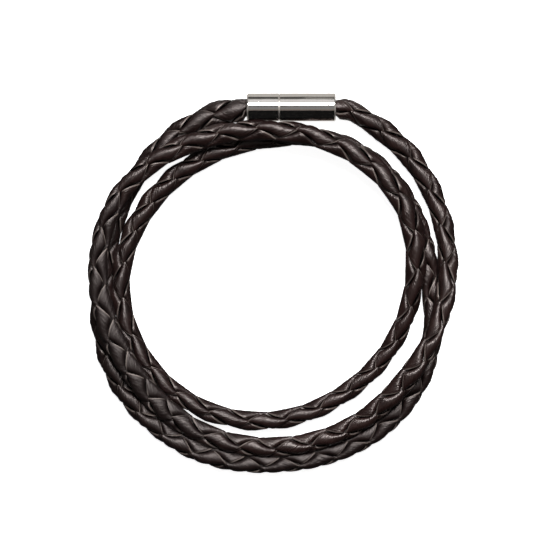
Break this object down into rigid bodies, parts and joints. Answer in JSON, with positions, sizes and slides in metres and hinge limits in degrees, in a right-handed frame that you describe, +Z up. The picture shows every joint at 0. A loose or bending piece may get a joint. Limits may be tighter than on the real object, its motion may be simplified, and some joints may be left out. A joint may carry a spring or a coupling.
{
  "type": "cord bracelet",
  "caption": "Braided leather cord wound round in several turns as a wrap bracelet, its ends joined by a smooth cylindrical two-part metal barrel clasp.",
  "frame": {"origin": "middle of the coil's outline, on the surface the bracelet lies on", "axes": "+Z up from the surface through the wrist opening, +X along the clasp's barrel from the half with the spigot to the half with the socket, +Y from the middle of the coil towards the clasp"},
  "size_m": [0.0784, 0.0813, 0.0083],
  "materials": {
    "cord_leather": "semi-gloss dark brown, fine grain",
    "clasp_steel": "polished"
  },
  "bodies": {
    "root": {"braided_cord": "cord_leather", "clasp_short_half": "clasp_steel", "clasp_long_half": "clasp_steel"}
  },
  "joints": []
}
